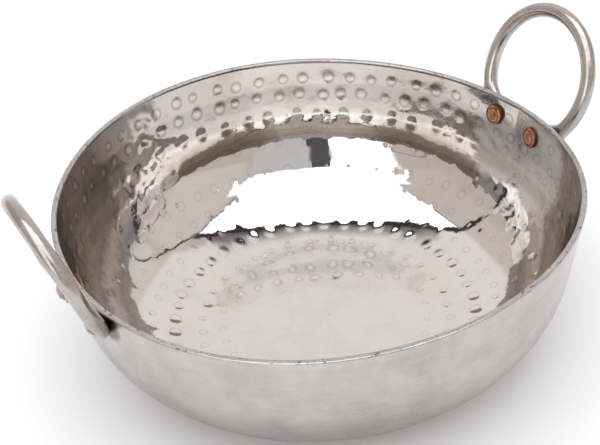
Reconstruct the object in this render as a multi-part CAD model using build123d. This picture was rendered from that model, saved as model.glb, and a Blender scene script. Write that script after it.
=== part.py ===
from build123d import *
from math import asin, cos, degrees, radians, sin, sqrt, tan
import os

# Kadai: a deep steel pan with two ring handles, each held by two copper rivets.
# Millimetres, +Z up. The origin is the middle of the flat that the pan stands on.
# The handles lie along X, the right one towards +X. Front is -Y and back is +Y.

# Bowl: two arcs run from the flat up to a straight side, with angles in degrees from level
rim_diameter = 270.0
bowl_height = 88.5
wall = 3.1
foot_radius = 107.0
foot_angle = 20.0
knuckle_radius = 57.5
side_angle = 81.3
rim_bevel = 0.5

# Ring handles: a round bar bent into an open ring, its two ends beaten flat
bar_diameter = 8.0
ring_radius = 35.7
end_bend_angle = 30.0
paddle_angle = 25.0
paddle_length = 6.0
paddle_width = 13.0
paddle_thickness = 5.0
paddle_bevel = 1.4
right_lean_angle = 23.6
left_lean_angle = 18.3
beating_shares = (0.35, 0.7, 1)

# Rivets: a flat head inside the pan, and a round head beaten over outside
rivet_pitch = 31.6
rivet_drop = 13.5
shank_diameter = 6.0
inner_head_diameter = 12.0
inner_head_thickness = 2.4
inner_head_bevel = 0.5
outer_head_diameter = 9.0
outer_head_height = 2.1
outer_head_shares = ((1, 0), (0.85, 0.55), (0.45, 1))

# Clearances
seat_gap = 0.05
hole_clearance = 0.1
overrun = 5.0


def rise(radius, low_angle, high_angle):
    """Height that an arc gains between two slopes."""
    return radius * (cos(radians(low_angle)) - cos(radians(high_angle)))


def reach(radius, low_angle, high_angle):
    """Distance outwards that an arc covers between two slopes."""
    return radius * (sin(radians(high_angle)) - sin(radians(low_angle)))


# The straight side makes up the height, and the flat makes up the diameter
rim_radius = rim_diameter / 2
foot_rise = rise(foot_radius, 0, foot_angle)
knuckle_rise = rise(knuckle_radius, foot_angle, side_angle)
foot_reach = reach(foot_radius, 0, foot_angle)
knuckle_reach = reach(knuckle_radius, foot_angle, side_angle)
side_reach = (bowl_height - foot_rise - knuckle_rise) / tan(radians(side_angle))
flat_radius = rim_radius - foot_reach - knuckle_reach - side_reach

# Where the rivets cross the outer wall
rivet_wall_radius = rim_radius - rivet_drop / tan(radians(side_angle))
rivet_turn = degrees(asin(rivet_pitch / 2 / rivet_wall_radius))


def wall_line(inset):
    """Half the bowl's profile from the axis to the rim, a given depth inside the outer face."""
    floor = Line((0, inset), (flat_radius, inset))
    foot = JernArc(floor @ 1, floor % 1, foot_radius - inset, foot_angle)
    knuckle = JernArc(foot @ 1, foot % 1, knuckle_radius - inset, side_angle - foot_angle)
    side_length = (bowl_height - (knuckle @ 1).Y) / sin(radians(side_angle))
    side = PolarLine(knuckle @ 1, side_length, side_angle)
    return floor, foot, knuckle, side


def rivet_seat(turn):
    """Plane on the outer wall at one rivet, with its Z axis along the wall's outward normal."""
    outwards = Vector(1, 0, 0).rotate(Axis.Z, turn)
    origin = outwards * rivet_wall_radius + Vector(0, 0, bowl_height - rivet_drop)
    normal = outwards * sin(radians(side_angle)) - Vector(0, 0, cos(radians(side_angle)))
    return Plane(origin=origin, x_dir=Vector(0, 1, 0).rotate(Axis.Z, turn), z_dir=normal)


def rivet_hole(turn):
    """Drill through the wall and the paddle at one rivet."""
    depth = 2 * (wall + paddle_thickness + overrun)
    return rivet_seat(turn) * Cylinder(shank_diameter / 2 + hole_clearance, depth)


def make_bowl():
    """Raised steel bowl, ground flat at the rim and drilled for the four rivets."""
    outer = wall_line(0)
    inner = wall_line(wall)
    ends = Line(outer[-1] @ 1, inner[-1] @ 1), Line(inner[0] @ 0, outer[0] @ 0)
    section = make_face([*outer, *inner, *ends])
    section = chamfer(section.vertices().group_by(Axis.Y)[-1], rim_bevel)
    bowl = revolve(Plane.XZ * section, Axis.Z)
    for side in (0, 180):
        for turn in (rivet_turn, -rivet_turn):
            bowl -= rivet_hole(side + turn)
    return bowl


def round_section(plane):
    """Face of the round bar, in eight arcs that match the beaten bar's eight sides."""
    arcs = [CenterArc((0, 0), bar_diameter / 2, 45 * side + 22.5, 45) for side in range(8)]
    return plane * make_face(arcs)


def beaten_section(plane, width, thickness, bevel):
    """Face of the beaten bar: a flat section with bevelled edges."""
    x, y = width / 2, thickness / 2
    upper = [(x, y - bevel), (x - bevel, y), (bevel - x, y), (-x, y - bevel)]
    lower = [(-x, bevel - y), (bevel - x, -y), (x - bevel, -y), (x, bevel - y)]
    return plane * make_face(Polyline(*upper, *lower, close=True))


def blend(start, end, share):
    """Value part of the way from one to the other."""
    return start + (end - start) * share


def make_handle(lean):
    """Ring handle on the +X side, leaning outwards by the given angle from upright."""
    seat = rivet_seat(rivet_turn).offset(seat_gap + paddle_thickness / 2)
    climb = radians(paddle_angle)
    uphill = seat.x_dir * cos(climb) + seat.y_dir * sin(climb)
    paddle_start = seat.origin + uphill * paddle_length

    # In the ring's own plane the bar leaves its circle for a tighter bend that ends at the paddle
    start = radians(end_bend_angle)
    end = radians(90 - paddle_angle)
    bend_radius = (ring_radius * cos(start) - paddle_start.Y) / (cos(start) - cos(end))
    bend_x = (ring_radius - bend_radius) * cos(start)
    bend_y = (bend_radius - ring_radius) * sin(start)
    drop = bend_radius * sin(end) - bend_y
    up_ring = Vector(0, 0, 1).rotate(Axis.Y, lean)
    off_ring = Vector(1, 0, 0).rotate(Axis.Y, lean)
    centre = Vector(paddle_start.X, 0, paddle_start.Z) + up_ring * drop
    ring = Plane(origin=centre, x_dir=(0, 1, 0), z_dir=off_ring)

    def section(share):
        angle = blend(start, end, share)
        local = (bend_x + bend_radius * cos(angle), bend_y - bend_radius * sin(angle))
        along = blend(ring.x_dir * sin(angle) + ring.y_dir * cos(angle), uphill, share)
        face_way = blend(off_ring, seat.z_dir, share)
        across = along.cross(face_way)
        plane = Plane(origin=ring.from_local_coords(local), x_dir=across, z_dir=across.cross(face_way))
        if share == 0:
            return round_section(plane)
        width = blend(bar_diameter, paddle_width, share)
        thickness = blend(bar_diameter, paddle_thickness, share)
        bevel = blend(bar_diameter / 4, paddle_bevel, share)
        return beaten_section(plane, width, thickness, bevel)

    sections = [section(share) for share in (0, *beating_shares)]
    half_ring = revolve(sections[0], Axis(centre, off_ring), 90 + end_bend_angle)
    paddle = extrude(sections[-1], paddle_length, dir=-uphill)
    middle = Plane(origin=seat.origin, x_dir=uphill, z_dir=uphill.cross(seat.z_dir))
    half_end = split(sections[-1].moved(Pos(seat.origin - paddle_start)), middle, keep=Keep.TOP)
    end_cap = revolve(half_end, Axis(seat.origin, seat.z_dir), 180)
    half = half_ring + loft(sections) + paddle + end_cap - rivet_hole(rivet_turn)
    return half + mirror(half, Plane.XZ)


def curve_sag(radius, width):
    """Depth of a round wall's curve across a given width."""
    return radius - sqrt(radius**2 - (width / 2) ** 2)


def make_rivet(turn):
    """Copper rivet, its flat head against the inner wall and its beaten head on the paddle."""
    shank = shank_diameter / 2
    inner_head = inner_head_diameter / 2
    outer_head = outer_head_diameter / 2
    outer_seat = paddle_thickness + 2 * seat_gap
    inner_seat = -wall - seat_gap - curve_sag(rivet_wall_radius - wall, inner_head_diameter)
    inner_edge = inner_seat - inner_head_thickness

    profile = Polyline(
        (0, inner_edge),
        (inner_head - inner_head_bevel, inner_edge),
        (inner_head, inner_edge + inner_head_bevel),
        (inner_head, inner_seat),
        (shank, inner_seat),
        (shank, outer_seat),
        *[(outer_head * x, outer_seat + outer_head_height * y) for x, y in outer_head_shares],
        (0, outer_seat + outer_head_height),
        close=True,
    )
    return rivet_seat(turn) * revolve(Plane.XZ * make_face(profile), Axis.Z)


def make_parts():
    """Every piece of the pan, by the name of its node."""
    return {
        "bowl": make_bowl(),
        "handle_right": make_handle(right_lean_angle),
        "handle_left": make_handle(left_lean_angle).rotate(Axis.Z, 180),
        "rivet_right_back": make_rivet(rivet_turn),
        "rivet_right_front": make_rivet(-rivet_turn),
        "rivet_left_back": make_rivet(180 - rivet_turn),
        "rivet_left_front": make_rivet(180 + rivet_turn),
    }


os.makedirs("parts", exist_ok=True)
for name, shape in make_parts().items():
    export_step(shape, f"parts/{name}.step")
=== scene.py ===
import random
from math import asin, atan2, cos, degrees, hypot, pi, radians, sin, sqrt, tan

import bmesh
import bpy
from mathutils import Matrix, Vector, noise
from mathutils.kdtree import KDTree


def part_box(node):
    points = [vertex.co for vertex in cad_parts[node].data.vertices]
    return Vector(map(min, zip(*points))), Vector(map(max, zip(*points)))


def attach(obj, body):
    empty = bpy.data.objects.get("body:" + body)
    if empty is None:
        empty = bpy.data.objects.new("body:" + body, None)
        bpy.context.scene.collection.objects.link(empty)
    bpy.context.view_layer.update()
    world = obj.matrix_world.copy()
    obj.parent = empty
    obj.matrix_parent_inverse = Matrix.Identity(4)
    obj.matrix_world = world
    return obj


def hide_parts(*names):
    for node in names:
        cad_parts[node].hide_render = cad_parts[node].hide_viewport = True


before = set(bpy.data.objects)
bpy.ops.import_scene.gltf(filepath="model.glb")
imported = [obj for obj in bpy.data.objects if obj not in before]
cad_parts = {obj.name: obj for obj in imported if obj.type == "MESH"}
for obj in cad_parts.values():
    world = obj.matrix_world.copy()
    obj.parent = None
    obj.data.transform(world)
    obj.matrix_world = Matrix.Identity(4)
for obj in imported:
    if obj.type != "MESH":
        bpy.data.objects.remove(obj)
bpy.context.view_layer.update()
bowl_low, bowl_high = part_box("bowl")

bl_info = {
    "name": "Hammered kadai",
    "version": (1, 0, 0),
    "blender": (4, 5, 0),
    "location": "View3D > Sidebar > Kadai",
    "description": "Hammered steel pan with two ring handles, around its packed frame",
    "category": "Object",
}

RIM_BEVEL = 0.0005
RIM_RADIUS = round(bowl_high.x, 4)
RIM_HEIGHT = round(bowl_high.z, 4)
FULL_TURN = 2 * pi
ALONG_X = Vector((1, 0, 0))
ALONG_Y = Vector((0, 1, 0))
UP = Vector((0, 0, 1))


def length(name, default, text):
    """Property for a length in metres."""
    return bpy.props.FloatProperty(
        name=name, description=text, default=default, unit="LENGTH", precision=5
    )


def angle(name, default, text):
    """Property for an angle, given in degrees and kept in radians."""
    return bpy.props.FloatProperty(
        name=name, description=text, default=radians(default), subtype="ANGLE"
    )


def count(name, default, text):
    """Property for a whole number."""
    return bpy.props.IntProperty(name=name, description=text, default=default, min=1)


def colour(name, default, text):
    """Property for a linear colour."""
    return bpy.props.FloatVectorProperty(
        name=name, description=text, default=default, subtype="COLOR", size=3, min=0, max=1
    )


class KadaiBowl(bpy.types.PropertyGroup):
    """Sizes and colours of the bowl."""

    wall: length("Wall", 0.0031, "Thickness of the sheet")
    foot_radius: length("Foot radius", 0.107, "Radius of the outer arc beside the flat")
    foot_angle: angle("Foot angle", 20, "Turn of the arc beside the flat")
    knuckle_radius: length("Knuckle radius", 0.0575, "Radius of the outer arc below the side")
    side_angle: angle("Side angle", 81.3, "Slope of the straight side from level")
    around: count("Steps around", 640, "Mesh steps round the bowl")
    warp: length("Rim warp", 0.0025, "Height by which the beaten rim rises and falls")
    warp_turn: angle("Warp turn", 29.7, "Where the rim's warp starts, before the right handle")
    steel: colour("Polished steel", (0.70, 0.67, 0.645), "Colour of the mirror inside")
    dull: colour("Dull steel", (0.475, 0.447, 0.425), "Colour of the less polished wall at the rim")
    satin: colour("Satin steel", (0.555, 0.515, 0.505), "Colour of the outside")


class KadaiHammer(bpy.types.PropertyGroup):
    """The hammer's marks inside the bowl."""

    dent_radius: length("Dent radius", 0.0032, "Radius of one hammer mark")
    dent_depth: length("Dent depth", 0.00019, "Depth of one hammer mark")
    wave_height: length("Wave height", 0.00022, "Height of the broad waves left by hammering")
    wave_length: length("Wave length", 0.026, "Distance between broad waves")
    ripple_height: length("Ripple height", 0.00005, "Height of the fine ripples")
    ripple_length: length("Ripple length", 0.009, "Distance between fine ripples")
    rough_height: length("Rough height", 0.00022, "Height of the roughly beaten patches")
    rough_length: length("Rough length", 0.0065, "Distance between waves of a rough patch")
    rivet_flat: length("Rivet flat", 0.0065, "Radius round each rivet that keeps its drawn shape")
    rivet_blend: length("Rivet blend", 0.018, "Width over which the flat runs into the hollow")
    seed: bpy.props.IntProperty(name="Seed", description="Start of the random marks", default=7)


class KadaiHandles(bpy.types.PropertyGroup):
    """Sizes and colour of the ring handles."""

    bar: length("Bar", 0.008, "Diameter of the round bar")
    ring_radius: length("Ring radius", 0.0357, "Radius of the ring at the bar's middle")
    bend_angle: angle("Bend angle", 30, "Where the bar leaves its circle, below level")
    paddle_angle: angle("Paddle angle", 25, "Climb of the beaten end along the wall")
    paddle_length: length("Paddle length", 0.006, "Straight beaten length above the rivet")
    paddle_width: length("Paddle width", 0.013, "Width of the beaten end")
    paddle_thickness: length("Paddle thickness", 0.005, "Thickness of the beaten end")
    right_lean: angle("Right lean", 23.6, "Lean of the right ring from upright")
    left_lean: angle("Left lean", 18.3, "Lean of the left ring from upright")
    left_skew: angle("Left skew", 2.6, "Turn of the left ring above its beaten ends, as bent by hand")
    skew_low: length("Skew's foot", 0.078, "Height at which the skew starts")
    skew_high: length("Skew's top", 0.094, "Height from which the ring is fully skewed")
    steel: colour("Bar steel", (0.49, 0.445, 0.41), "Colour of the satin bar")


class KadaiRivets(bpy.types.PropertyGroup):
    """Sizes and colour of the rivets."""

    pitch: length("Pitch", 0.0316, "Distance between one handle's rivets")
    drop: length("Drop", 0.0135, "Depth of the rivets below the rim")
    gap: length("Gap", 0.00005, "Clearance under each head and paddle")
    shank: length("Shank", 0.006, "Diameter of the shank")
    inner_head: length("Inner head", 0.012, "Diameter of the flat head inside")
    inner_thickness: length("Inner thickness", 0.0024, "Thickness of the flat head")
    outer_head: length("Outer head", 0.009, "Diameter of the beaten head outside")
    outer_height: length("Outer height", 0.0021, "Height of the beaten head")
    copper: colour("Copper", (0.73, 0.315, 0.19), "Colour of the rubbed copper")
    tarnish: colour("Tarnish", (0.13, 0.05, 0.035), "Colour of the dark copper at the edges")


class KadaiStage(bpy.types.PropertyGroup):
    """The floor, the light round the pan and the camera."""

    floor_size: length("Floor size", 6.0, "Side of the floor")
    floor: colour("Floor", (0.80, 0.81, 0.82), "Colour of the floor")
    distance: length("Distance", 0.675, "From the camera to the middle of the rim, along its view")
    across: length("Across", -0.00840, "Camera's place to the right of the rim's middle")
    above: length("Above", -0.01879, "Camera's place above the line to the rim's middle")
    elevation: angle("Elevation", 35.537, "Angle that the camera looks down")
    turn: angle("Turn", 29.72, "Turn of the camera round the pan")
    roll: angle("Roll", -4.321, "Roll of the camera")
    lens: bpy.props.FloatProperty(name="Lens", description="Focal length", default=79.71)


class Wire:
    """A shader value. Sums on wires add Math nodes to the tree."""

    def __init__(self, shader, socket):
        self.shader = shader
        self.socket = socket

    def math(self, operation, *values):
        return self.shader.node("ShaderNodeMath", {"operation": operation}, dict(enumerate(values)))

    def __add__(self, other):
        return self.math("ADD", self, other)

    def __sub__(self, other):
        return self.math("SUBTRACT", self, other)

    def __rsub__(self, other):
        return self.math("SUBTRACT", other, self)

    def __mul__(self, other):
        return self.math("MULTIPLY", self, other)

    def __pow__(self, other):
        return self.math("POWER", self, other)

    __radd__ = __add__
    __rmul__ = __mul__

    def between(self, low, high):
        """0 below low, 1 above high, and a soft step between. High may be the lower one."""
        settings = {"interpolation_type": "SMOOTHSTEP", "clamp": True}
        inputs = {"Value": self, "From Min": low, "From Max": high}
        return self.shader.node("ShaderNodeMapRange", settings, inputs)

    def band(self, low, high, soft):
        """1 from low to high, with soft edges."""
        return self.between(low - soft, low + soft) * self.between(high + soft, high - soft)


class Shader:
    """Adds nodes to a node tree."""

    def __init__(self, tree):
        self.tree = tree
        tree.nodes.clear()

    def node(self, kind, settings=None, inputs=None, output=0):
        """Adds a node: its settings first, then the values or links of its sockets."""
        made = self.tree.nodes.new(kind)
        for name, value in (settings or {}).items():
            setattr(made, name, value)
        for name, value in (inputs or {}).items():
            if isinstance(value, Wire):
                self.tree.links.new(value.socket, made.inputs[name])
            else:
                made.inputs[name].default_value = value
        return Wire(self, made.outputs[output]) if made.outputs else made

    def place(self):
        """Object coordinates."""
        return self.node("ShaderNodeTexCoord", output="Object")

    def axes(self, vector):
        """The three parts of a vector."""
        first = self.node("ShaderNodeSeparateXYZ", inputs={"Vector": vector})
        return [Wire(self, socket) for socket in first.socket.node.outputs]

    def join(self, x, y, z):
        """A vector from its three parts."""
        return self.node("ShaderNodeCombineXYZ", inputs={"X": x, "Y": y, "Z": z})

    def noise(self, vector, scale, detail=2.0, rough=0.5, distortion=0.0):
        """Noise value at a scale, in waves per metre on Object coordinates."""
        inputs = {"Vector": vector, "Scale": scale, "Detail": detail}
        inputs.update({"Roughness": rough, "Distortion": distortion})
        return self.node("ShaderNodeTexNoise", inputs=inputs)

    def mix(self, factor, first, second, blend="MIX"):
        """Mix of two colours."""
        settings = {"data_type": "RGBA", "blend_type": blend}
        inputs = {0: factor, 6: solid(first), 7: solid(second)}
        return self.node("ShaderNodeMix", settings, inputs, 2)

    def bump(self, height, distance, strength):
        """Normal from a height in units of distance."""
        inputs = {"Height": height, "Distance": distance, "Strength": strength}
        return self.node("ShaderNodeBump", inputs=inputs)

    def surface(self, **inputs):
        """The material's surface: a Principled shader with these sockets."""
        named = {name.replace("_", " "): value for name, value in inputs.items()}
        if not isinstance(named["Base Color"], Wire):
            named["Base Color"] = solid(named["Base Color"])
        made = self.node("ShaderNodeBsdfPrincipled", inputs=named)
        self.node("ShaderNodeOutputMaterial", inputs={"Surface": made})


def solid(value):
    """A colour with its alpha, or a wire as it is."""
    if isinstance(value, Wire) or len(value) == 4:
        return value
    return (*value, 1)


def new_material(name):
    """A material and the shader that fills it."""
    material = bpy.data.materials.new(name)
    material.use_nodes = True
    return material, Shader(material.node_tree)


class Pen:
    """Draws a chain of edges in the XZ plane, where X is the distance from the axis."""

    def __init__(self, bm, start, heading):
        self.bm = bm
        self.heading = heading
        self.vert = bmesh.ops.create_vert(bm, co=(start[0], 0, start[1]))["vert"][0]
        self.drawn = [self.vert]

    def line(self, reach, steps):
        step = Vector((cos(self.heading), 0, sin(self.heading))) * reach / steps
        for _ in range(steps):
            made = bmesh.ops.extrude_vert_indiv(self.bm, verts=[self.vert])
            self.vert = made["verts"][0]
            bmesh.ops.translate(self.bm, verts=[self.vert], vec=step)
            self.drawn.append(self.vert)

    def arc(self, radius, turn, steps):
        side = Vector((-sin(self.heading), 0, cos(self.heading))) * (1 if turn > 0 else -1)
        for _ in range(steps):
            centre = self.vert.co + side * radius
            made = bmesh.ops.extrude_vert_indiv(self.bm, verts=[self.vert])
            self.vert = made["verts"][0]
            turned = Matrix.Rotation(turn / steps, 3, -ALONG_Y)
            bmesh.ops.rotate(self.bm, verts=[self.vert], cent=centre, matrix=turned)
            side = turned @ side
            self.drawn.append(self.vert)
        self.heading += turn


def spin_round(bm, steps):
    """Spins all that is drawn once round the Z axis, and closes the seam and the poles."""
    geometry = [*bm.verts, *bm.edges]
    bmesh.ops.spin(
        bm, geom=geometry, cent=(0, 0, 0), axis=UP, angle=FULL_TURN, steps=steps, use_merge=True
    )
    bmesh.ops.remove_doubles(bm, verts=bm.verts, dist=1e-6)
    bmesh.ops.recalc_face_normals(bm, faces=bm.faces)


def uneven(place, waves):
    """Sum of noise waves at a place, each with its height and length."""
    return sum(height * noise.noise(place / length) for height, length in waves)


def finish_piece(bm, name, materials, node):
    """Turns a bmesh into a smooth piece that rides on the pan and stands for a CAD node."""
    mesh = bpy.data.meshes.new(name)
    for face in bm.faces:
        face.smooth = True
    bm.to_mesh(mesh)
    bm.free()
    piece = bpy.data.objects.new(name, mesh)
    bpy.context.scene.collection.objects.link(piece)
    for material in materials:
        mesh.materials.append(material)
    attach(piece, "root")
    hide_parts(node)


def rise(radius, low, high):
    """Height that an arc gains between two slopes."""
    return radius * (cos(low) - cos(high))


def reach(radius, low, high):
    """Distance outwards that an arc covers between two slopes."""
    return radius * (sin(high) - sin(low))


def flat_radius(bowl):
    """Radius of the flat under the pan."""
    foot_rise = rise(bowl.foot_radius, 0, bowl.foot_angle)
    knuckle_rise = rise(bowl.knuckle_radius, bowl.foot_angle, bowl.side_angle)
    side_reach = (RIM_HEIGHT - foot_rise - knuckle_rise) / tan(bowl.side_angle)
    foot_reach = reach(bowl.foot_radius, 0, bowl.foot_angle)
    knuckle_reach = reach(bowl.knuckle_radius, bowl.foot_angle, bowl.side_angle)
    return RIM_RADIUS - foot_reach - knuckle_reach - side_reach


# Rows of hammer marks: distance from the middle along the inner wall, number, first turn,
# and the shares of a mark's radius and depth
DENT_ROWS = (
    (0.0560, 28, 0, 0.6, 0.08),
    (0.0673, 35, 64.4, 0.7, 0.5),
    (0.0815, 47, 64.7, 1.1, 1.1),
    (0.0940, 50, 61, 0.7, 0.45),
    (0.1070, 54, 58, 0.7, 0.45),
    (0.1200, 58, 60.9, 0.95, 1.3),
    (0.1360, 56, 62, 0.8, 0.5),
    (0.1523, 55, 63.9, 1.1, 1.0),
    (0.1652, 64, 62.2, 1.15, 0.5),
    (0.1760, 61, 60.8, 1.15, 0.48),
)

# Stray marks on the side walls: middle turn and half spread in degrees, and number
STRAY_MARKS = ((-22, 42, 34), (138, 38, 28))
STRAY_REACH = (0.126, 0.162)

# Patches beaten more roughly: turn in degrees, distance along the wall and reach
ROUGH_PATCHES = (
    (106, 0.160, 0.026),
    (115, 0.152, 0.022),
    (-1, 0.134, 0.016),
    (-12, 0.121, 0.015),
    (8, 0.158, 0.018),
    (-15, 0.164, 0.020),
    (-21, 0.148, 0.018),
)

# Tilts of the beaten wall from its drawn slope, by height: it is hollow round the pan
WALL_TILTS = (
    (0.0430, 0),
    (0.0457, -0.5),
    (0.0481, -1.6),
    (0.0508, -3.2),
    (0.0531, -4.1),
    (0.0558, -3.05),
    (0.0581, -2.1),
    (0.0608, -1.25),
    (0.0634, -0.6),
    (0.0686, 0),
    (0.0707, 0.5),
    (0.0758, 1.2),
    (0.0830, 2.2),
    (0.0885, 2.5),
)
HOLLOW_STEP = 0.0002


def hollow_depths():
    """Depth of the hollow at each small step up the wall."""
    depths = [0.0]
    for (low, first), (high, last) in zip(WALL_TILTS, WALL_TILTS[1:]):
        steps = round((high - low) / HOLLOW_STEP)
        for step in range(steps):
            tilt = radians(first + (last - first) * (step + 0.5) / steps)
            depths.append(depths[-1] - tan(tilt) * (high - low) / steps)
    return depths


def hollow_at(depths, height):
    """Depth of the hollow at a height."""
    step = max(0, (height - WALL_TILTS[0][0]) / HOLLOW_STEP)
    low = min(int(step), len(depths) - 2)
    return depths[low] + (depths[low + 1] - depths[low]) * min(1, step - low)


def inner_profile(drawn):
    """Pairs of distance along the inner wall from the middle, and the place there."""
    places = [vert.co.copy() for vert in reversed(drawn)]
    along = 0.0
    pairs = [(along, places[0])]
    for before, after in zip(places, places[1:]):
        along += (after - before).length
        pairs.append((along, after))
    return pairs


def point_on(profile, along, turn):
    """Point of the inner wall at a distance from the middle and a turn about the axis."""
    for (low, before), (high, after) in zip(profile, profile[1:]):
        if along <= high:
            break
    place = before.lerp(after, (along - low) / (high - low))
    return Matrix.Rotation(turn, 3, UP) @ place


def hammer_marks(hammer, profile):
    """Places, radii and depths of the hammer marks, row by row."""
    draw = random.Random(hammer.seed)
    marks = []
    for along, number, first, size_share, depth_share in DENT_ROWS:
        for index in range(number):
            turn = radians(first) + FULL_TURN * (index + draw.uniform(-0.12, 0.12)) / number
            place = along + draw.uniform(-0.0008, 0.0008)
            size = hammer.dent_radius * size_share * draw.uniform(0.9, 1.2)
            depth = hammer.dent_depth * depth_share * draw.uniform(0.75, 1.3)
            marks.append((point_on(profile, place, turn), size, depth))
    for middle, spread, number in STRAY_MARKS:
        for _ in range(number):
            turn = radians(middle + draw.uniform(-spread, spread))
            place = point_on(profile, draw.uniform(*STRAY_REACH), turn)
            depth = hammer.dent_depth * draw.uniform(0.5, 1.2)
            marks.append((place, hammer.dent_radius * draw.uniform(0.7, 1.1), depth))
    return marks


# Waves are calmer on the pan's floor: height of full waves, and the least share of them
CALM_HEIGHT = 0.06
CALM_SHARE = 0.35

# Swirl of the rough patches: how far it carries a point, and its length
SWIRL_REACH = 0.004
SWIRL_LENGTH = 0.011

# Width over which marks and waves begin beside a rivet
RIVET_EDGE = 0.003


def hammer_inside(bm, inner, hammer, profile):
    """Sinks the hammer marks into the inner wall and waves it gently."""
    mark = bm.verts.layers.float["mark"]
    noise.seed_set(hammer.seed)
    marks = hammer_marks(hammer, profile)
    tree = KDTree(len(marks))
    for index, (place, _, _) in enumerate(marks):
        tree.insert(place, index)
    tree.balance()
    widest = max(size for _, size, _ in marks)
    depths = hollow_depths()
    patches = [(point_on(profile, along, radians(turn)), size) for turn, along, size in ROUGH_PATCHES]
    turns = [side + turn for side in (0, pi) for turn in (rivet_turn(), -rivet_turn())]
    rivets = [rivet_seat(turn).translation for turn in turns]
    bm.normal_update()
    moves = []
    for vert in inner:
        sink = 0.0
        for _, index, distance in tree.find_range(vert.co, widest):
            _, size, depth = marks[index]
            if distance < size:
                sink = max(sink, depth * (1 - (distance / size) ** 2))
                vert[mark] = max(vert[mark], 1 - distance / size)
        calm = max(CALM_SHARE, min(1, vert.co.z / CALM_HEIGHT))
        wave = calm * hammer.wave_height * noise.noise(vert.co / hammer.wave_length)
        wave += hammer.ripple_height * noise.noise(vert.co / hammer.ripple_length)
        nearest = min((vert.co - rivet).length for rivet in rivets) - hammer.rivet_flat
        rough = max(1 - (vert.co - middle).length / size for middle, size in patches)
        if rough > 0:
            swirled = vert.co + noise.noise_vector(vert.co / SWIRL_LENGTH) * SWIRL_REACH
            swirl = hammer.rough_height * noise.noise(swirled / hammer.rough_length)
            wave += min(1, rough * 2) * swirl
        near = max(0, min(1, nearest / RIVET_EDGE))
        hollow = hollow_at(depths, vert.co.z) * max(0, min(1, nearest / hammer.rivet_blend))
        moves.append((vert, vert.normal * ((wave - sink) * near - hollow)))
    for vert, move in moves:
        vert.co += move


# Mesh steps: flat, foot, knuckle and side outside, rim, then side to floor inside
OUTSIDE_STEPS = (5, 5, 12, 7)
RIM_STEPS = 4
INSIDE_STEPS = (27, 40, 23, 28)

# Height and length of the waves left on the outside
OUTSIDE_WAVES = ((0.00009, 0.03), (0.00003, 0.012))


def draw_bowl(bm, bowl):
    """Draws the wall's section: up the outside, over the rim and down the inside."""
    flat_steps, foot_steps, knuckle_steps, side_steps = OUTSIDE_STEPS
    flat = flat_radius(bowl)
    knuckle_turn = bowl.side_angle - bowl.foot_angle
    pen = Pen(bm, (0, 0), 0)
    pen.line(flat, flat_steps)
    pen.arc(bowl.foot_radius, bowl.foot_angle, foot_steps)
    pen.arc(bowl.knuckle_radius, knuckle_turn, knuckle_steps)
    pen.line((RIM_HEIGHT - RIM_BEVEL - pen.vert.co.z) / sin(bowl.side_angle), side_steps)
    outside = len(pen.drawn)

    inner_rim = RIM_RADIUS - bowl.wall / sin(bowl.side_angle)
    bevel = Vector((RIM_RADIUS - RIM_BEVEL, 0, RIM_HEIGHT)) - pen.vert.co
    pen.heading = atan2(bevel.z, bevel.x)
    pen.line(bevel.length, 1)
    pen.heading = pi
    pen.line(RIM_RADIUS - inner_rim - 2 * RIM_BEVEL, RIM_STEPS)
    side_low = Vector((inner_rim - RIM_BEVEL / tan(bowl.side_angle), 0, RIM_HEIGHT - RIM_BEVEL))
    bevel = side_low - pen.vert.co
    on_rim = len(pen.drawn)
    pen.heading = atan2(bevel.z, bevel.x)
    pen.line(bevel.length, 1)

    side_steps, knuckle_steps, foot_steps, floor_steps = INSIDE_STEPS
    knuckle_rise = rise(bowl.knuckle_radius - bowl.wall, bowl.foot_angle, bowl.side_angle)
    foot_rise = rise(bowl.foot_radius - bowl.wall, 0, bowl.foot_angle)
    side_rise = pen.vert.co.z - bowl.wall - foot_rise - knuckle_rise
    pen.heading = bowl.side_angle + pi
    pen.line(side_rise / sin(bowl.side_angle), side_steps)
    pen.arc(bowl.knuckle_radius - bowl.wall, -knuckle_turn, knuckle_steps)
    pen.arc(bowl.foot_radius - bowl.wall, -bowl.foot_angle, foot_steps)
    pen.line(pen.vert.co.x, floor_steps)
    return pen.drawn[:outside], pen.drawn[outside:on_rim], pen.drawn[on_rim:]


def warp_rim(bm, bowl):
    """Lifts and lowers the rim in a long wave, sliding the wall along itself."""
    for vert in bm.verts:
        turn = atan2(vert.co.y, vert.co.x)
        lift = -bowl.warp * sin(2 * (turn + bowl.warp_turn)) * vert.co.z / RIM_HEIGHT
        inwards = Vector((cos(turn), sin(turn), 0)) * min(0, lift)
        vert.co += inwards * cos(bowl.side_angle) + UP * lift * sin(bowl.side_angle)


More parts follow.
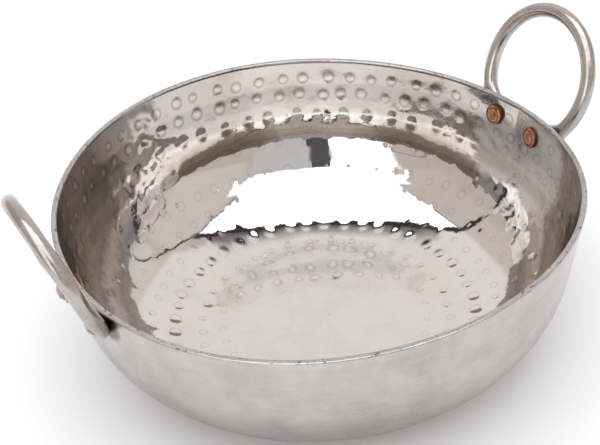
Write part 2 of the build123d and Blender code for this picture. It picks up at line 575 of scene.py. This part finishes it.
class KADAI_OT_bowl(bpy.types.Operator):
    """Make the hammered bowl"""

    bl_idname = "kadai.bowl"
    bl_label = "Bowl"

    def execute(self, context):
        bowl = context.scene.kadai_bowl
        hammer = context.scene.kadai_hammer
        bm = bmesh.new()
        bm.verts.layers.float.new("mark")
        zone = bm.verts.layers.float.new("zone")
        outside, rim, inside = draw_bowl(bm, bowl)
        for value, verts in ((0, outside), (1, rim), (2, inside)):
            for vert in verts:
                vert[zone] = value
        profile = inner_profile(inside)
        spin_round(bm, bowl.around)
        inner = [vert for vert in bm.verts if vert[zone] > 1.5]
        hammer_inside(bm, inner, hammer, profile)
        for vert in bm.verts:
            if vert[zone] < 0.5:
                fade = min(1, vert.co.z / 0.004, (RIM_HEIGHT - RIM_BEVEL - vert.co.z) / 0.01)
                vert.co += vert.normal * uneven(vert.co, OUTSIDE_WAVES) * fade
        warp_rim(bm, bowl)
        for face in bm.faces:
            zones = [vert[zone] for vert in face.verts]
            on_rim = any(0.5 < value < 1.5 for value in zones)
            face.material_index = 1 if on_rim else 2 if min(zones) > 1.5 else 0
        materials = [satin_steel(bowl), ground_rim(), mirror_steel(bowl)]
        finish_piece(bm, "hammered_bowl", materials, "bowl")
        return {"FINISHED"}


def satin_steel(bowl):
    """Outside of the bowl: satin, with soft blotches, faint scuffs and specks, painted shade towards the
    foot and a painted dark patch beside each beaten end.
    """
    material, shader = new_material("satin_steel")
    place = shader.place()
    x, y, z = shader.axes(place)
    blotch = shader.noise(place, 28, 3, 0.55)
    cloud = shader.noise(place, 90, 4, 0.6)
    turn = y.math("ARCTAN2", y, x)
    scuff = shader.noise(shader.join(turn * 0.5, z * 40, 0), 12, 5, 0.65)
    speck = shader.noise(place, 900, 2, 0.5).between(0.68, 0.74)
    tone = (blotch * 0.5 + cloud * 0.3 + scuff * 0.2).between(0.35, 0.65)
    dark = [value * 0.83 for value in bowl.satin]
    light = [min(1, value * 1.1) for value in bowl.satin]
    base = shader.mix(tone, dark, light)
    base = shader.mix(speck * 0.35, base, (0.25, 0.23, 0.21))
    # Painted shade: the outside darkens towards the foot, standing in for the reflection of the shaded floor
    # under the pan.
    base = shader.mix(z.between(0.065, 0.012), base, (0.68, 0.62, 0.60), "MULTIPLY")
    rough = 0.19 + blotch * 0.12 + scuff * 0.08
    # Painted shade: a dark patch on the wall beside each beaten end, standing in for the reflection of the
    # paddle's shaded back.
    near = (x.math("ABSOLUTE", x) - 0.1325) ** 2 + (y.math("ABSOLUTE", y) - 0.0235) ** 2
    painted_paddle_shade = (near + (z - 0.0785) ** 2).between(0.00014, 0.00005) * (0.7 + cloud * 0.6)
    base = shader.mix(painted_paddle_shade * 0.85, base, (0.10, 0.085, 0.075))
    normal = shader.bump(scuff * 0.6 + cloud * 0.4, 0.00012, 0.5)
    shader.surface(Base_Color=base, Metallic=1.0, Roughness=rough, Normal=normal)
    return material


def ground_rim():
    """Flat rim, ground along its length."""
    material, shader = new_material("ground_rim")
    place = shader.place()
    x, y, z = shader.axes(place)
    radius = (x * x + y * y) ** 0.5
    turn = y.math("ARCTAN2", y, x)
    grind = shader.noise(shader.join(turn * 2, radius * 300, z * 300), 6, 4, 0.6)
    nick = shader.noise(place, 350, 3, 0.6)
    tone = (grind * 0.6 + nick * 0.4).between(0.3, 0.7)
    base = shader.mix(tone, (0.34, 0.32, 0.30), (0.62, 0.60, 0.58))
    base = shader.mix(nick.between(0.56, 0.66) * 0.8, base, (0.14, 0.12, 0.11))
    normal = shader.bump(grind * 0.5 + nick * 0.5, 0.0002, 0.6)
    shader.surface(Base_Color=base, Metallic=1.0, Roughness=0.24 + nick * 0.12, Normal=normal)
    return material


def mirror_steel(bowl):
    """Inside of the bowl: mirror polish over the hammer marks, with painted shade on the side walls, on a
    band and on the marks' rims, and painted highlights in the marks.
    """
    material, shader = new_material("mirror_steel")
    place = shader.place()
    cloud = shader.noise(place, 35, 4, 0.6)
    smear = shader.noise(place, 150, 3, 0.6, 0.8)
    ripple = shader.noise(place, 260, 2, 0.5, 1.2)
    grain = shader.noise(place, 1500, 2, 0.6)
    tone = (cloud * 0.6 + smear * 0.4).between(0.38, 0.62)
    cloudy = [value * 0.94 for value in bowl.steel]
    base = shader.mix(tone, cloudy, bowl.steel)
    x, y, z = shader.axes(place)
    height = z + (cloud - 0.5) * 0.005
    base = shader.mix(height.between(0.0525, 0.057), base, bowl.dull)
    # Painted shade: the inner walls at the left and right of the camera's view are browned and streaked,
    # with less metal, standing in for their dark reflections.
    left = (x * -0.94 + y * 0.342).between(0.085, 0.115)
    right = (x * 0.643 - y * 0.766).between(0.09, 0.12)
    painted_side_shade = (left + right) * (z + (smear - 0.5) * 0.02).between(0.012, 0.04)
    streak = shader.noise(shader.join(x, y, z * 0.3), 380, 4, 0.65, 0.8)
    front = (x - 0.122) ** 2 + (y + 0.026) ** 2 + (z - 0.062) ** 2
    back = (x - 0.126) ** 2 + (y - 0.010) ** 2 + (z - 0.057) ** 2
    beside = front.math("MINIMUM", front, back * 1.3)
    scour = (beside + (cloud - 0.5) * 0.0012).between(0.0008, 0.0003)
    base = shader.mix(painted_side_shade * (1 - scour), base, (0.60, 0.53, 0.48), "MULTIPLY")
    painted_shade_streaks = painted_side_shade * streak.between(0.45, 0.65) * 0.5
    base = shader.mix(painted_shade_streaks, base, (0.66, 0.60, 0.56), "MULTIPLY")
    base = shader.mix(scour * (0.5 + smear * 0.4), base, (0.66, 0.63, 0.61))
    # Painted shade: a band of the wall from 63.5 to 73.5 mm up, darkened to hold down the light reflected on
    # it.
    painted_band_shade = (height - (cloud - 0.5) * 0.003).band(0.0635, 0.0735, 0.0012)
    base = shader.mix(painted_band_shade * (0.6 + smear * 0.6), base, (0.84, 0.845, 0.86), "MULTIPLY")
    satin = height.between(0.058, 0.068)
    rough = 0.025 + tone * 0.02 + smear.between(0.6, 0.8) * 0.05 + satin * 0.04 + painted_side_shade * 0.05
    rough += scour * (0.14 + ripple * 0.34)
    shadow = z.band(0.044, 0.0525, 0.002)
    base = shader.mix(shadow, base, (0.84, 0.80, 0.77), "MULTIPLY")
    mark = shader.node("ShaderNodeAttribute", {"attribute_name": "mark"}, output="Fac")
    # Painted shade on the rims of the hammer marks, and a painted highlight in the middles of the marks on
    # the satin wall.
    ring = mark.between(0.02, 0.2) * mark.between(0.5, 0.28) * (0.2 + satin * 0.35 + cloud * 0.2)
    base = shader.mix(ring, base, (0.62, 0.59, 0.57), "MULTIPLY")
    base = shader.mix(mark.between(0.4, 0.8) * satin * 0.5, base, (0.60, 0.57, 0.55))
    relief = (smear * 0.55 + ripple * 0.4 + grain * 0.05) * (0.45 + satin * 0.35)
    relief += grain * satin * 0.08 + streak * painted_side_shade * 0.7
    normal = shader.bump(relief, 0.00012, 0.55)
    shader.surface(Base_Color=base, Metallic=1 - painted_side_shade * 0.22 - scour * 0.25, Roughness=rough, Normal=normal)
    return material


def rivet_seat(turn):
    """Matrix of one rivet: X level along the wall, Y down it, Z out of the wall."""
    bowl = bpy.context.scene.kadai_bowl
    rivets = bpy.context.scene.kadai_rivets
    spun = Matrix.Rotation(turn, 3, UP)
    outwards = spun @ ALONG_X
    across = spun @ ALONG_Y
    radius = RIM_RADIUS - rivets.drop / tan(bowl.side_angle)
    origin = outwards * radius + UP * (RIM_HEIGHT - rivets.drop)
    normal = outwards * sin(bowl.side_angle) - UP * cos(bowl.side_angle)
    down = normal.cross(across)
    seat = Matrix((across, down, normal)).transposed().to_4x4()
    seat.translation = origin
    return seat


def rivet_turn():
    """Turn of a rivet from the middle of its handle."""
    bowl = bpy.context.scene.kadai_bowl
    rivets = bpy.context.scene.kadai_rivets
    radius = RIM_RADIUS - rivets.drop / tan(bowl.side_angle)
    return asin(rivets.pitch / 2 / radius)


# Mesh steps of the bar: round its section, then along the ring, bend, paddle and tip
SECTION_SIDES = 28
RING_STEPS = 44
BEND_STEPS = 14
PADDLE_STEPS = 4
TIP_STEPS = 7

# Height and length of the bar's dents, and how far they are set in to keep to its size
BAR_WAVES = ((0.00008, 0.012), (0.00012, 0.03))
BAR_INSET = 0.00006


def bar_path(handles, lean):
    """Frames of half a handle from the ring's top to the beaten end, with the share beaten."""
    rivets = bpy.context.scene.kadai_rivets
    seat = rivet_seat(rivet_turn())
    across, up_wall, normal = (Vector(seat.col[i][:3]) for i in range(3))
    raised = seat.translation + normal * (rivets.gap + handles.paddle_thickness / 2)
    uphill = across * cos(handles.paddle_angle) + up_wall * sin(handles.paddle_angle)
    paddle_start = raised + uphill * handles.paddle_length

    start = handles.bend_angle
    end = pi / 2 - handles.paddle_angle
    radius = handles.ring_radius
    bend = (radius * cos(start) - paddle_start.y) / (cos(start) - cos(end))
    bend_x = (radius - bend) * cos(start)
    bend_y = (bend - radius) * sin(start)
    drop = bend * sin(end) - bend_y
    up_ring = Matrix.Rotation(lean, 3, ALONG_Y) @ UP
    off_ring = Matrix.Rotation(lean, 3, ALONG_Y) @ ALONG_X
    centre = Vector((paddle_start.x, 0, paddle_start.z)) + up_ring * drop

    frames = []
    for step in range(RING_STEPS):
        turn = pi / 2 - (pi / 2 + start) * step / RING_STEPS
        outwards = ALONG_Y * cos(turn) + up_ring * sin(turn)
        frames.append((centre + outwards * radius, outwards, off_ring, 0.0))
    for step in range(BEND_STEPS + 1):
        beaten = step / BEND_STEPS
        turn = start + (end - start) * beaten
        place = ALONG_Y * (bend_x + bend * cos(turn)) + up_ring * (bend_y - bend * sin(turn))
        along = ALONG_Y * sin(turn) + up_ring * cos(turn)
        along = along.lerp(uphill, beaten)
        face_way = off_ring.lerp(normal, beaten)
        side = along.cross(face_way).normalized()
        frames.append((centre + place, side, face_way.normalized(), beaten))
    for step in range(1, PADDLE_STEPS + 1):
        place = paddle_start.lerp(raised, step / PADDLE_STEPS)
        frames.append((place, uphill.cross(normal).normalized(), normal, 1.0))
    return frames, uphill


def section_point(handles, turn, beaten):
    """Point of the bar's section: round at first, then flat with soft corners."""
    width = handles.bar + (handles.paddle_width - handles.bar) * beaten
    depth = handles.bar + (handles.paddle_thickness - handles.bar) * beaten
    power = 1 - 0.5 * beaten
    x = abs(cos(turn)) ** power * (1 if cos(turn) > 0 else -1)
    y = abs(sin(turn)) ** power * (1 if sin(turn) > 0 else -1)
    return x * width / 2, y * depth / 2


def set_section(verts, handles, station):
    """Moves a ring of vertices onto the bar's section at a station."""
    place, side, face_way, beaten = station
    for index, vert in enumerate(verts):
        turn = FULL_TURN * (index + 0.5) / SECTION_SIDES
        x, y = section_point(handles, turn, beaten)
        vert.co = place + side * x + face_way * y


def extrude_ring(bm, ring):
    """Extrudes a ring of vertices, and gives the new ring in the same order."""
    edges = []
    for before, after in zip(ring, ring[1:] + ring[:1]):
        edges.append(bm.edges.get((before, after)))
    made = bmesh.ops.extrude_edge_only(bm, edges=edges)["geom"]
    fresh = {item for item in made if isinstance(item, bmesh.types.BMVert)}
    result = []
    for vert in ring:
        partner = [e.other_vert(vert) for e in vert.link_edges if e.other_vert(vert) in fresh]
        result.append(partner[0])
    return result


def skew_ring(bm, handles, skew):
    """Turns a ring about its own height, more and more above its beaten ends."""
    for vert in bm.verts:
        climb = (vert.co.z - handles.skew_low) / (handles.skew_high - handles.skew_low)
        vert.co.x += tan(skew) * vert.co.y * max(0, min(1, climb))


def make_handle(handles, lean, skew, name, node, turn, material):
    """One ring handle: a round bar swept round the ring and beaten flat at both ends."""
    frames, uphill = bar_path(handles, lean)
    bm = bmesh.new()
    ring = bmesh.ops.create_circle(bm, segments=SECTION_SIDES, radius=handles.bar / 2)["verts"]
    set_section(ring, handles, frames[0])
    for station in frames[1:]:
        ring = extrude_ring(bm, ring)
        set_section(ring, handles, station)
    half_width = handles.paddle_width / 2
    place, side, face_way, beaten = frames[-1]
    for step in range(1, TIP_STEPS + 1):
        lean_in = pi / 2 * step / (TIP_STEPS + 0.4)
        tip = place - uphill * half_width * sin(lean_in)
        ring = extrude_ring(bm, ring)
        set_section(ring, handles, (tip, side, face_way, beaten))
        for vert in ring:
            offset = (vert.co - tip).dot(side)
            vert.co -= side * offset * (1 - cos(lean_in))
    bmesh.ops.contextual_create(bm, geom=ring)
    for vert in bm.verts:
        vert.co += vert.normal * (uneven(vert.co, BAR_WAVES) - BAR_INSET)
    bmesh.ops.mirror(
        bm, geom=[*bm.verts, *bm.edges, *bm.faces], axis="Y", merge_dist=0.00002
    )
    bmesh.ops.remove_doubles(bm, verts=bm.verts, dist=0.00002)
    bmesh.ops.recalc_face_normals(bm, faces=bm.faces)
    if turn:
        half = Matrix.Rotation(turn, 3, UP)
        bmesh.ops.rotate(bm, verts=bm.verts, cent=(0, 0, 0), matrix=half)
    skew_ring(bm, handles, skew)
    finish_piece(bm, name, [material], node)


def bar_steel(handles):
    """Satin steel bar, rubbed along its length."""
    material, shader = new_material("bar_steel")
    place = shader.place()
    cloud = shader.noise(place, 60, 4, 0.6)
    rub = shader.noise(place, 420, 4, 0.65)
    pit = shader.noise(place, 1100, 2, 0.5).between(0.62, 0.72)
    dark = [value * 0.82 for value in handles.steel]
    light = [min(1, value * 1.12) for value in handles.steel]
    base = shader.mix((cloud * 0.6 + rub * 0.4).between(0.35, 0.65), dark, light)
    base = shader.mix(pit * 0.3, base, (0.22, 0.19, 0.17))
    normal = shader.bump(rub * 0.6 + cloud * 0.4, 0.00012, 0.5)
    rough = 0.17 + cloud * 0.12
    shader.surface(Base_Color=base, Metallic=1.0, Roughness=rough, Normal=normal)
    return material


class KADAI_OT_handles(bpy.types.Operator):
    """Make the two ring handles"""

    bl_idname = "kadai.handles"
    bl_label = "Handles"

    def execute(self, context):
        handles = context.scene.kadai_handles
        material = bar_steel(handles)
        right, left, skew = handles.right_lean, handles.left_lean, handles.left_skew
        make_handle(handles, right, 0, "ring_right", "handle_right", 0, material)
        make_handle(handles, left, skew, "ring_left", "handle_left", pi, material)
        return {"FINISHED"}


# The flat head's face, the groove round it and the lip, as shares of the head's radius
FACE_SHARE = 0.62
GROOVE_SHARE = 0.08
LIP_SHARE = 0.26
GROOVE_SLOPE = -28
FACE_DEPTH = 0.00022

# Height and length of a rivet's dents
RIVET_WAVES = ((0.00022, 0.0035), (0.00005, 0.0014))


def make_rivet(rivets, bowl, handles, turn, name, node, material):
    """One copper rivet: flat head inside, shank, and a round beaten head outside."""
    radius = RIM_RADIUS - rivets.drop / tan(bowl.side_angle) - bowl.wall
    head = rivets.inner_head / 2
    sag = radius - sqrt(radius**2 - head**2)
    inner_seat = -bowl.wall - rivets.gap - sag
    inner_face = inner_seat - rivets.inner_thickness
    outer_seat = handles.paddle_thickness + 2 * rivets.gap
    bm = bmesh.new()
    edge = bm.verts.layers.float.new("edge")
    outer_side = bm.verts.layers.float.new("outer_side")
    pen = Pen(bm, (0, inner_face + FACE_DEPTH), 0)
    pen.line(head * FACE_SHARE, 7)
    groove = len(pen.drawn)
    pen.heading = radians(GROOVE_SLOPE)
    pen.line(head * GROOVE_SHARE, 2)
    pen.heading = 0
    lip = len(pen.drawn)
    pen.arc(pen.vert.co.z - inner_face + head * LIP_SHARE, pi / 2, 6)
    pen.line(inner_seat - pen.vert.co.z, 3)
    seat = len(pen.drawn)
    pen.heading = pi
    pen.line(pen.vert.co.x - rivets.shank / 2, 2)
    pen.heading = pi / 2
    pen.line(outer_seat - inner_seat, 4)
    pen.heading = 0
    outer = rivets.outer_head / 2
    pen.line(outer - rivets.shank / 2, 2)
    slope = 2 * atan2(rivets.outer_height, outer)
    dome = outer / sin(slope)
    pen.heading = pi - slope
    pen.arc(dome, slope, 10)
    for index, vert in enumerate(pen.drawn):
        vert[outer_side] = 1 if index > seat + 6 else 0
        # The face's last two steps before the groove get no tarnish: a painted highlight ring.
        vert[edge] = 0.3 if index < groove - 2 else 0
        if groove <= index < lip:
            vert[edge] = 0.9
        elif index >= lip:
            vert[edge] = min(1, 0.2 + 0.16 * (index - lip))
        if vert.co.z > outer_seat:
            vert[edge] = 0.3 + 0.6 * (vert.co.x / outer) ** 4
    spin_round(bm, 40)
    bm.normal_update()
    for vert in bm.verts:
        offset = vert.co + Vector((turn * 3, 0, 0))
        if vert.co.z < inner_seat - 1e-5 or vert.co.z > outer_seat + 1e-5:
            vert.co += vert.normal * uneven(offset, RIVET_WAVES)
    bmesh.ops.transform(bm, matrix=rivet_seat(turn), verts=bm.verts)
    finish_piece(bm, name, [material], node)


def rubbed_copper(rivets):
    """Copper, rubbed on its faces and dark at its edges, with a painted highlight ring inside the groove."""
    material, shader = new_material("rubbed_copper")
    place = shader.place()
    edge = shader.node("ShaderNodeAttribute", {"attribute_name": "edge"}, output="Fac")
    patch = shader.noise(place, 260, 4, 0.6)
    fine = shader.noise(place, 900, 3, 0.6)
    dark = (edge * 1.1 + patch * 1.9 - 0.95).between(0.12, 0.85)
    light = [min(1, value * 1.9) for value in rivets.copper]
    base = shader.mix(fine.between(0.46, 0.62) * 0.8, rivets.copper, light)
    base = shader.mix(dark, base, rivets.tarnish)
    outside = shader.node("ShaderNodeAttribute", {"attribute_name": "outer_side"}, output="Fac")
    base = shader.mix(outside * patch.between(0.72, 0.52) * 0.85, base, (0.46, 0.41, 0.37))
    normal = shader.bump(patch * 0.5 + fine * 0.5, 0.0006, 0.9)
    shader.surface(
        Base_Color=base, Metallic=1.0, Roughness=0.32 + dark * 0.2, Normal=normal
    )
    return material


class KADAI_OT_rivets(bpy.types.Operator):
    """Make the four copper rivets"""

    bl_idname = "kadai.rivets"
    bl_label = "Rivets"

    def execute(self, context):
        scene = context.scene
        material = rubbed_copper(scene.kadai_rivets)
        spread = rivet_turn()
        places = {
            "right_back": spread,
            "right_front": -spread,
            "left_back": pi - spread,
            "left_front": pi + spread,
        }
        for name, turn in places.items():
            make_rivet(
                scene.kadai_rivets, scene.kadai_bowl, scene.kadai_handles,
                turn, f"copper_rivet_{name}", f"rivet_{name}", material,
            )
        return {"FINISHED"}


def pale_floor(stage):
    """Pale floor that keeps the pan's shadow and shows white to the camera and in the steel."""
    material, shader = new_material("pale_floor")
    path = shader.node("ShaderNodeLightPath", output="Is Camera Ray")
    glossy = Wire(shader, path.socket.node.outputs["Is Glossy Ray"])
    clear = Wire(shader, path.socket.node.outputs["Is Transmission Ray"])
    rays = path + glossy + clear
    shown = rays.math("MINIMUM", rays, 1)
    floor = shader.node("ShaderNodeBsdfDiffuse", inputs={"Color": (*stage.floor, 1)})
    glow = shader.node(
        "ShaderNodeEmission", inputs={"Color": (1, 1, 1, 1), "Strength": shown * 0.11}
    )
    both = shader.node("ShaderNodeAddShader", inputs={0: floor, 1: glow})
    shader.node("ShaderNodeOutputMaterial", inputs={"Surface": both})
    return material


ROOM = (0.68, 0.62, 0.58)
SLOT = (0.05, 0.048, 0.052)
PANEL = (2.05, 2.09, 2.14)
LAMP = (2.5, 2.54, 2.6)

# Light round the pan: bands of angle over the backdrop and to its right, softness and colour
PANELS = (
    (-4, 64, -32, 34, 3, (1.0, 0.965, 0.95)),
    (5, 60, 34, 60, 4, (0.85, 0.815, 0.78)),
    (20, 64, -52, -32, 4, (0.78, 0.72, 0.68)),
    (64, 150, 31, 70, 3, (0.82, 0.765, 0.72)),
    (64, 130, -60, -31, 4, (0.74, 0.68, 0.64)),
    (129, 171, -37, -8, 2, PANEL),
    (131, 172, -8, 3, 1, (0.12, 0.12, 0.135)),
    (109, 122, 29, 34, 1.5, (1.95, 1.94, 1.93)),
    (109, 122, -35, -30, 1.5, (1.95, 1.94, 1.93)),
    (131, 172, 3, 28, 1.5, (0.72, 0.71, 0.74)),
)


def studio_world(stage):
    """Soft light from a studio: a large overhead panel, a pale backdrop and a darker room."""
    world = bpy.data.worlds.new("studio")
    world.use_nodes = True
    bpy.context.scene.world = world
    shader = Shader(world.node_tree)
    direction = shader.node("ShaderNodeTexCoord", output="Generated")
    turned = shader.node(
        "ShaderNodeVectorRotate",
        {"rotation_type": "Z_AXIS"},
        {"Vector": direction, "Angle": stage.turn},
    )
    right, away, up = shader.axes(turned)
    over = up.math("ARCTAN2", up, away) * degrees(1)
    side = right.math("ARCSINE", right) * degrees(1)
    seam = 65.5 + side.math("MAXIMUM", side, 0) * 0.3
    base = ROOM
    for low, high, first, last, soft, tone in PANELS:
        patch = over.band(low, high, soft) * side.band(first, last, soft)
        base = shader.mix(patch, base, tone)
    panel = over.between(seam - 0.5, seam + 0.5) * over.between(132, 130) * side.band(-30, 29, 0.7)
    base = shader.mix(panel, base, PANEL)
    lamp = over.between(103, 91)
    base = shader.mix(panel * lamp, base, LAMP)
    middle = side.band(-16, 18, 8)
    drop = over - seam
    shade = drop.between(0.5, 0.1) * drop.between(-3 - middle * 11, -2) * 0.85
    line = drop.band(-3, 0.4, 0.4)
    gap = line.math("MAXIMUM", line, shade)
    base = shader.mix(gap * side.band(-52, 31, 3), base, SLOT)
    edge = side.band(-31, -30.3, 0.4) * over.band(66, 85, 4)
    base = shader.mix(edge + side.band(29.3, 30, 0.4) * over.band(72, 106, 4), base, SLOT)
    slant = (over + (side - 32) * 1.33 - 72).band(-2, 1, 1) * side.band(31, 58, 2)
    base = shader.mix(slant, base, SLOT)
    seen = shader.node("ShaderNodeLightPath", output="Is Camera Ray")
    base = shader.mix(seen, base, (1, 1, 1))
    light = shader.node("ShaderNodeBackground", inputs={"Color": base, "Strength": 1.0})
    shader.node("ShaderNodeOutputWorld", inputs={"Surface": light})


def place_camera(stage):
    """Camera at the photograph's place, turned with the pan's handles along X."""
    right, up, ahead = ALONG_X, UP, ALONG_Y
    tip = Matrix.Rotation(-stage.elevation, 3, right)
    ahead, up = tip @ ahead, tip @ up
    tilt = Matrix.Rotation(-stage.roll, 3, ahead)
    right, up = tilt @ right, tilt @ up
    middle = Vector((0, 0, RIM_HEIGHT))
    spun = Matrix.Rotation(-stage.turn, 3, UP)
    place = spun @ (right * stage.across + up * stage.above - ahead * stage.distance) + middle
    axes = Matrix((spun @ right, spun @ up, spun @ -ahead)).transposed().to_4x4()
    axes.translation = place
    data = bpy.data.cameras.new("camera")
    data.lens = stage.lens
    data.sensor_width = 36
    data.clip_start = 0.01
    data.clip_end = 50
    camera = bpy.data.objects.new("camera", data)
    bpy.context.scene.collection.objects.link(camera)
    camera.matrix_world = axes
    bpy.context.scene.camera = camera


class KADAI_OT_stage(bpy.types.Operator):
    """Make the floor, the light and the camera"""

    bl_idname = "kadai.stage"
    bl_label = "Stage"

    def execute(self, context):
        stage = context.scene.kadai_stage
        bm = bmesh.new()
        bmesh.ops.create_grid(bm, x_segments=1, y_segments=1, size=stage.floor_size / 2)
        bmesh.ops.translate(bm, verts=bm.verts, vec=(0, 0, bowl_low.z))
        mesh = bpy.data.meshes.new("floor")
        bm.to_mesh(mesh)
        bm.free()
        floor = bpy.data.objects.new("floor", mesh)
        mesh.materials.append(pale_floor(stage))
        context.scene.collection.objects.link(floor)
        studio_world(stage)
        place_camera(stage)
        context.scene.view_settings.view_transform = "Standard"
        return {"FINISHED"}


class KADAI_PT_panel(bpy.types.Panel):
    """Panel that makes the pan"""

    bl_label = "Kadai"
    bl_idname = "KADAI_PT_panel"
    bl_space_type = "VIEW_3D"
    bl_region_type = "UI"
    bl_category = "Kadai"

    def draw(self, context):
        for operator in OPERATORS:
            self.layout.operator(operator.bl_idname)


OPERATORS = (KADAI_OT_bowl, KADAI_OT_handles, KADAI_OT_rivets, KADAI_OT_stage)
GROUPS = {
    "kadai_bowl": KadaiBowl,
    "kadai_hammer": KadaiHammer,
    "kadai_handles": KadaiHandles,
    "kadai_rivets": KadaiRivets,
    "kadai_stage": KadaiStage,
}


def register():
    for cls in (*GROUPS.values(), *OPERATORS, KADAI_PT_panel):
        bpy.utils.register_class(cls)
    for name, group in GROUPS.items():
        setattr(bpy.types.Scene, name, bpy.props.PointerProperty(type=group))


def unregister():
    for name in GROUPS:
        delattr(bpy.types.Scene, name)
    for cls in reversed((*GROUPS.values(), *OPERATORS, KADAI_PT_panel)):
        bpy.utils.unregister_class(cls)


def main():
    """Makes every piece and the stage."""
    register()
    bpy.ops.kadai.bowl()
    bpy.ops.kadai.handles()
    bpy.ops.kadai.rivets()
    bpy.ops.kadai.stage()


if __name__ == "__main__":
    main()
